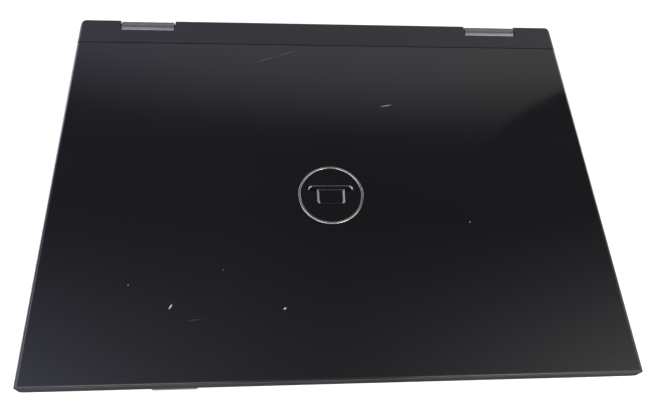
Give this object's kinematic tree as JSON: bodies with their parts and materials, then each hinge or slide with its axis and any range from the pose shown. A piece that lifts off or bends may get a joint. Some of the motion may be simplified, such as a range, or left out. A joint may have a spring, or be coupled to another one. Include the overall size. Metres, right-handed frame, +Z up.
{
  "type": "laptop computer",
  "caption": "Closed clamshell notebook computer with a gloss lid, keyboard, disc drive, removable battery pack and full internals.",
  "frame": {"origin": "middle of the bottom of the overall box, on the surface that the feet stand on", "axes": "+X to the user's right, -Y the front edge, +Y the hinge edge, +Z up, lid closed"},
  "size_m": [0.317, 0.238, 0.034],
  "materials": {
    "lid_gloss": "moulded ABS, high-gloss black clear coat with fine sparkle",
    "strip_satin": "moulded ABS, satin black",
    "case_black": "moulded ABS-PC, fine matt texture",
    "palm_black": "moulded ABS-PC, satin soft paint",
    "panel_gloss": "gloss black trim",
    "hinge_grey": "metallic grey paint on moulded plastic",
    "blank_grey": "grey moulded plastic",
    "pad_grey": "satin dark grey",
    "keycap": "laser-marked ABS, fine matt",
    "battery_black": "moulded ABS-PC pack",
    "socket_black": "moulded nylon",
    "cable_black": "taped wire bundle",
    "rubber_black": "moulded rubber",
    "silicone": "translucent silicone rubber",
    "screw_black": "black oxide steel",
    "steel": "zinc-plated sheet steel",
    "alloy": "die-cast or stamped aluminium",
    "chrome": "polished chrome plating",
    "copper": "copper with aluminium fins",
    "video_blue": "blue moulded shell",
    "board_green": "glass-epoxy circuit board with soldered parts",
    "chip_grey": "processor on its carrier",
    "glass_dark": "display glass with matt polariser"
  },
  "bodies": {
    "base": {"bottom_case": "case_black", "palm_rest": "palm_black", "power_strip": "panel_gloss", "access_doors": "case_black", "rubber_feet": "rubber_black", "case_screws": "screw_black", "hinge_covers": "hinge_grey", "hinge_brackets": "steel", "keyboard_backplate": "steel", "key_domes": "silicone", "touch_pad": "pad_grey", "circuit_boards": "board_green", "processor": "chip_grey", "heat_sink": "copper", "memory_modules": "board_green", "wireless_card": "board_green", "clock_battery": "steel", "fan_housing": "case_black", "hard_disk": "alloy", "optical_drive_case": "steel", "usb_sockets": "steel", "network_socket": "socket_black", "video_socket": "video_blue", "audio_sockets": "socket_black", "power_inlet": "socket_black", "card_reader": "steel", "speakers": "socket_black"},
    "lid": {"lid_back_cover": "lid_gloss", "lid_hinge_strip": "strip_satin", "screen_bezel": "case_black", "screen_glass": "glass_dark", "screen_backlight": "alloy", "screen_inverter": "board_green", "camera_module": "board_green", "emblem_ring": "chrome", "emblem_disc": "lid_gloss", "screen_bumpers": "rubber_black", "bezel_screws": "screw_black", "wireless_aerials": "copper", "display_cable": "cable_black", "lid_hinge_arms": "steel"},
    "battery": {"battery_pack": "battery_black"},
    "battery_latch": {"battery_latch": "case_black"},
    "battery_lock": {"battery_lock": "case_black"},
    "power_button": {"power_button": "chrome"},
    "pad_button_left": {"pad_button_left": "pad_grey"},
    "pad_button_right": {"pad_button_right": "pad_grey"},
    "fan": {"fan_impeller": "socket_black"},
    "disc_tray": {"optical_tray": "case_black"},
    "disc_spindle": {"disc_spindle": "steel"},
    "eject_button": {"eject_button": "case_black"},
    "radio_switch": {"radio_switch": "hinge_grey"},
    "card_blank": {"card_blank": "blank_grey"},
    "keys_function_row": {"keys_function_row": "keycap"},
    "keys_number_row": {"keys_number_row": "keycap"},
    "keys_upper_row": {"keys_upper_row": "keycap"},
    "keys_home_row": {"keys_home_row": "keycap"},
    "keys_lower_row": {"keys_lower_row": "keycap"},
    "keys_bottom_row": {"keys_bottom_row": "keycap"},
    "space_bar": {"space_bar": "keycap"}
  },
  "joints": [
    {"name": "lid_hinge", "type": "hinge", "parent": "base", "child": "lid", "pos_m": [0, 0.1142, 0.029], "axis": [-1, 0, 0], "range_deg": [0, 135]},
    {"name": "keys_function_row_travel", "type": "slide", "parent": "base", "child": "keys_function_row", "axis": [0, 0, -1], "range_m": [0, 0.0019], "stiffness_N_per_m": 500, "deforming": ["key_domes"]},
    {"name": "keys_number_row_travel", "type": "slide", "parent": "base", "child": "keys_number_row", "axis": [0, 0, -1], "range_m": [0, 0.0019], "stiffness_N_per_m": 500, "deforming": ["key_domes"]},
    {"name": "keys_upper_row_travel", "type": "slide", "parent": "base", "child": "keys_upper_row", "axis": [0, 0, -1], "range_m": [0, 0.0019], "stiffness_N_per_m": 500, "deforming": ["key_domes"]},
    {"name": "keys_home_row_travel", "type": "slide", "parent": "base", "child": "keys_home_row", "axis": [0, 0, -1], "range_m": [0, 0.0019], "stiffness_N_per_m": 500, "deforming": ["key_domes"]},
    {"name": "keys_lower_row_travel", "type": "slide", "parent": "base", "child": "keys_lower_row", "axis": [0, 0, -1], "range_m": [0, 0.0019], "stiffness_N_per_m": 500, "deforming": ["key_domes"]},
    {"name": "keys_bottom_row_travel", "type": "slide", "parent": "base", "child": "keys_bottom_row", "axis": [0, 0, -1], "range_m": [0, 0.0019], "stiffness_N_per_m": 500, "deforming": ["key_domes"]},
    {"name": "space_bar_travel", "type": "slide", "parent": "base", "child": "space_bar", "axis": [0, 0, -1], "range_m": [0, 0.0019], "stiffness_N_per_m": 500, "deforming": ["key_domes"]},
    {"name": "battery_slide", "type": "slide", "parent": "base", "child": "battery", "axis": [0, 1, 0], "range_m": [0, 0.055]},
    {"name": "battery_latch_slide", "type": "slide", "parent": "base", "child": "battery_latch", "axis": [1, 0, 0], "range_m": [0, 0.005], "stiffness_N_per_m": 300},
    {"name": "battery_lock_slide", "type": "slide", "parent": "base", "child": "battery_lock", "axis": [1, 0, 0], "range_m": [0, 0.005]},
    {"name": "power_button_press", "type": "slide", "parent": "base", "child": "power_button", "axis": [0, 0, -1], "range_m": [0, 0.0006], "stiffness_N_per_m": 1500},
    {"name": "pad_button_left_press", "type": "slide", "parent": "base", "child": "pad_button_left", "axis": [0, 0, -1], "range_m": [0, 0.0008], "stiffness_N_per_m": 1000},
    {"name": "pad_button_right_press", "type": "slide", "parent": "base", "child": "pad_button_right", "axis": [0, 0, -1], "range_m": [0, 0.0008], "stiffness_N_per_m": 1000},
    {"name": "fan_spin", "type": "hinge", "parent": "base", "child": "fan", "pos_m": [-0.117, 0.089, 0.01], "axis": [0, 0, 1], "continuous": true},
    {"name": "disc_tray_slide", "type": "slide", "parent": "base", "child": "disc_tray", "axis": [1, 0, 0], "range_m": [0, 0.12]},
    {"name": "disc_spindle_spin", "type": "hinge", "parent": "disc_tray", "child": "disc_spindle", "pos_m": [0.0958, -0.002, 0.01], "axis": [0, 0, 1], "continuous": true},
    {"name": "eject_button_press", "type": "slide", "parent": "disc_tray", "child": "eject_button", "axis": [-1, 0, 0], "range_m": [0, 0.001], "stiffness_N_per_m": 800},
    {"name": "radio_switch_slide", "type": "slide", "parent": "base", "child": "radio_switch", "axis": [0, 1, 0], "range_m": [0, 0.004]},
    {"name": "card_blank_slide", "type": "slide", "parent": "base", "child": "card_blank", "axis": [0, -1, 0], "range_m": [0, 0.032]}
  ]
}
